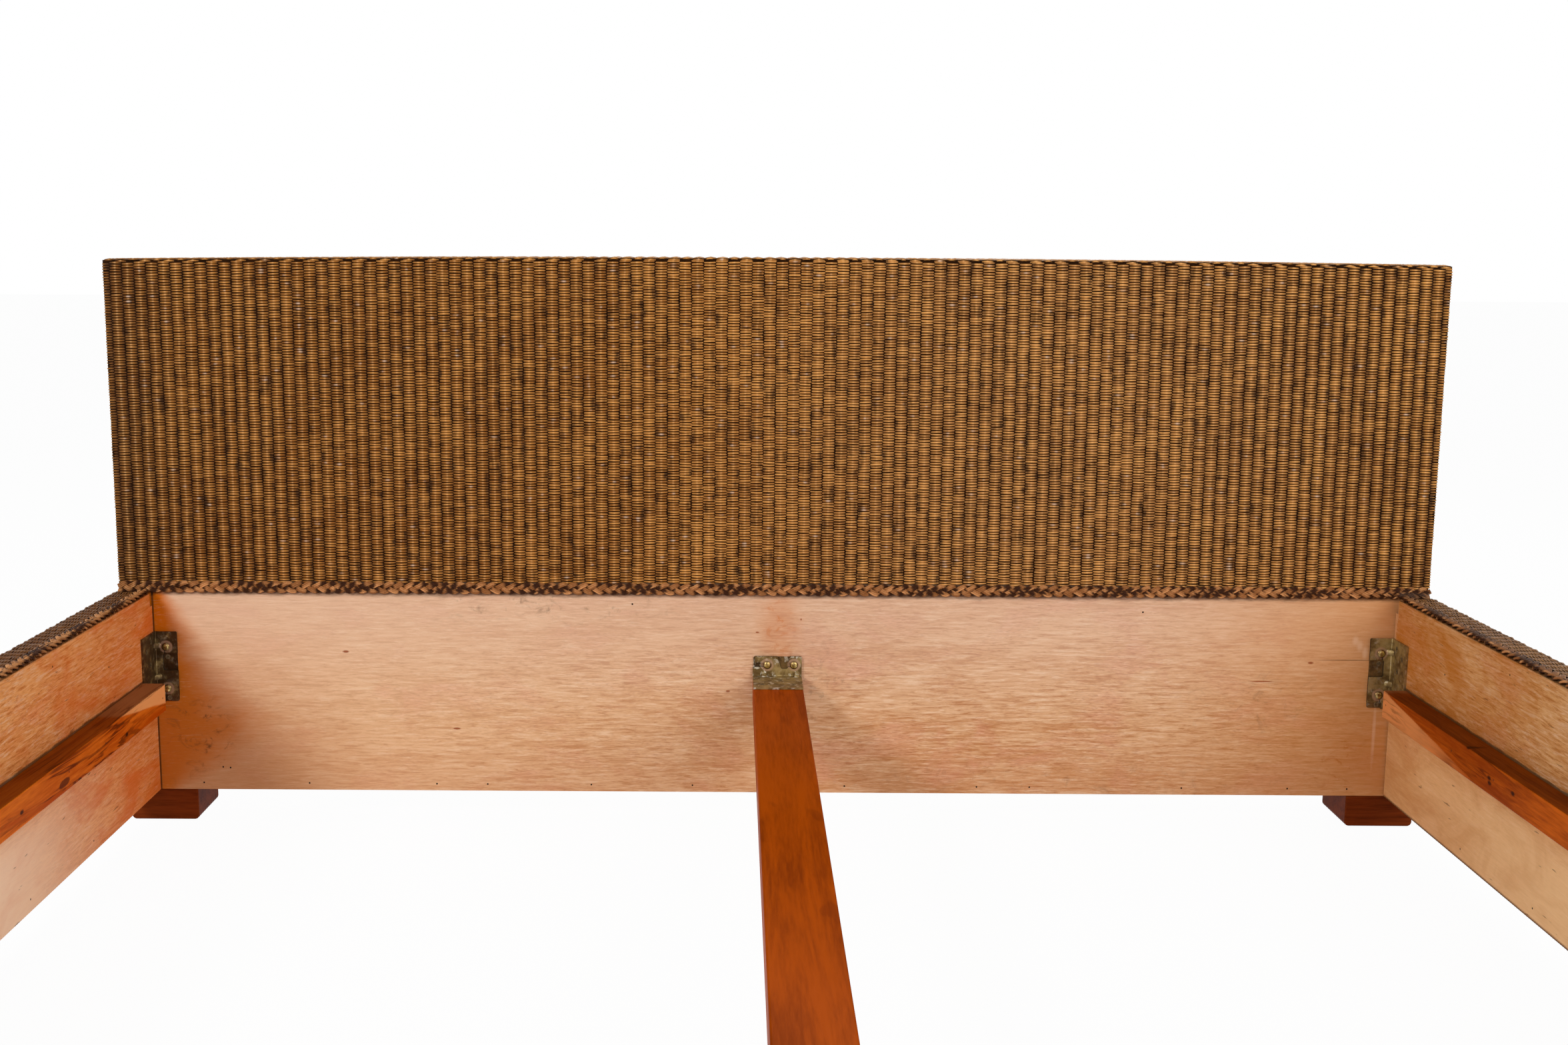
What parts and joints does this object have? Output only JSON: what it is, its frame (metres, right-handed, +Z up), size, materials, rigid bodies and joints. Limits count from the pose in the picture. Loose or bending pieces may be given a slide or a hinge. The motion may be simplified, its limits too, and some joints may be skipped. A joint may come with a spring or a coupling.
{
  "type": "wicker bed",
  "caption": "Woven wicker bed frame: panel headboard and foot rail on block feet, with plywood-lined side rails, slat ledgers and a centre beam that hook onto headed studs.",
  "frame": {"origin": "on the floor under the middle of the bed's outer box", "axes": "+X to the right seen from the foot end, +Y from the foot rail to the headboard, +Z up"},
  "size_m": [1.9528, 2.2014, 0.8495],
  "materials": {
    "wicker": "antique brown woven wicker strands over rattan stakes, satin lacquer",
    "braid": "plaited wicker trim, grey-brown, satin",
    "plywood": "pinkish tan plywood, unvarnished, fine horizontal grain",
    "pine": "sawn softwood, bare",
    "red_wood": "reddish brown stained hardwood, varnished",
    "foot_wood": "dark reddish brown stained hardwood, varnished",
    "zinc_steel": "olive yellow zinc-passivated pressed steel, slightly worn"
  },
  "bodies": {
    "root": {"footboard_block_left": "pine", "footboard_block_right": "pine", "footboard_bottom_batten": "pine", "footboard_braid": "braid", "footboard_centre_block": "pine", "footboard_foot_left": "foot_wood", "footboard_foot_right": "foot_wood", "footboard_lining": "plywood", "footboard_outer_board": "plywood", "footboard_skin": "wicker", "footboard_stud_plate_centre": "zinc_steel", "footboard_stud_plate_left": "zinc_steel", "footboard_stud_plate_right": "zinc_steel", "footboard_top_batten": "pine", "headboard_back_panel": "plywood", "headboard_bottom_rail": "pine", "headboard_braid": "braid", "headboard_centre_block": "pine", "headboard_foot_left": "foot_wood", "headboard_foot_right": "foot_wood", "headboard_lining": "plywood", "headboard_middle_rail": "pine", "headboard_post_left": "pine", "headboard_post_right": "pine", "headboard_skin": "wicker", "headboard_stud_plate_centre": "zinc_steel", "headboard_stud_plate_left": "zinc_steel", "headboard_stud_plate_right": "zinc_steel", "headboard_top_rail": "pine", "headboard_upright_left": "pine", "headboard_upright_right": "pine"},
    "left_rail": {"left_rail_bottom_batten": "pine", "left_rail_braid": "braid", "left_rail_foot_block": "pine", "left_rail_foot_hook": "zinc_steel", "left_rail_head_block": "pine", "left_rail_head_hook": "zinc_steel", "left_rail_ledger": "red_wood", "left_rail_lining": "plywood", "left_rail_outer_board": "plywood", "left_rail_skin": "wicker", "left_rail_top_batten": "pine"},
    "right_rail": {"right_rail_bottom_batten": "pine", "right_rail_braid": "braid", "right_rail_foot_block": "pine", "right_rail_foot_hook": "zinc_steel", "right_rail_head_block": "pine", "right_rail_head_hook": "zinc_steel", "right_rail_ledger": "red_wood", "right_rail_lining": "plywood", "right_rail_outer_board": "plywood", "right_rail_skin": "wicker", "right_rail_top_batten": "pine"},
    "centre_beam": {"beam_foot_hook": "zinc_steel", "beam_head_hook": "zinc_steel", "centre_beam": "red_wood"}
  },
  "joints": [
    {"name": "left_rail_lift", "type": "slide", "parent": "root", "child": "left_rail", "axis": [0, 0, 1], "range_m": [0, 0.018]},
    {"name": "right_rail_lift", "type": "slide", "parent": "root", "child": "right_rail", "axis": [0, 0, 1], "range_m": [0, 0.018]},
    {"name": "beam_slide", "type": "slide", "parent": "root", "child": "centre_beam", "axis": [1, 0, 0], "range_m": [0, 0.016]}
  ]
}
